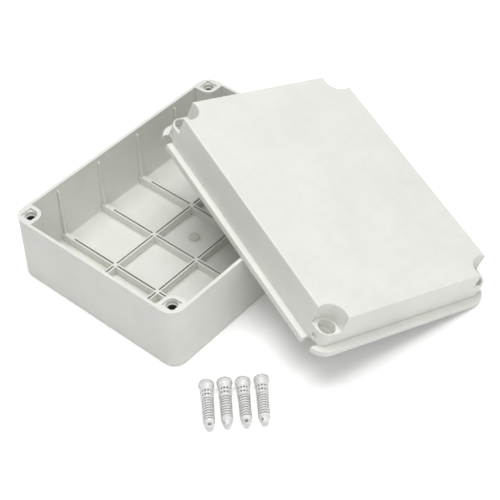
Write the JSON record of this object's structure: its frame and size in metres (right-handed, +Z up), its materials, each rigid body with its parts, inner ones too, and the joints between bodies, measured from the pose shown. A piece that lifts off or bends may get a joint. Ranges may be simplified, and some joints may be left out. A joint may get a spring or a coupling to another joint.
{
  "type": "plastic project box",
  "caption": "Plastic project box with a ribbed base, a sealed screw-down lid leaning open across it, and plastic lid screws laid beside it.",
  "frame": {"origin": "centre of the underside of the base", "axes": "+X along the base's long side, +Y along its short side towards the back, +Z up"},
  "size_m": [0.2549, 0.2521, 0.0962],
  "materials": {
    "box_plastic": "fine satin moulding, light grey",
    "seal_rubber": "dull",
    "screw_plastic": "slightly milky natural nylon"
  },
  "bodies": {
    "root": {"base": "box_plastic", "lid": "box_plastic", "gasket": "seal_rubber", "lid_screw_1": "screw_plastic", "lid_screw_2": "screw_plastic", "lid_screw_3": "screw_plastic", "lid_screw_4": "screw_plastic"}
  },
  "joints": []
}
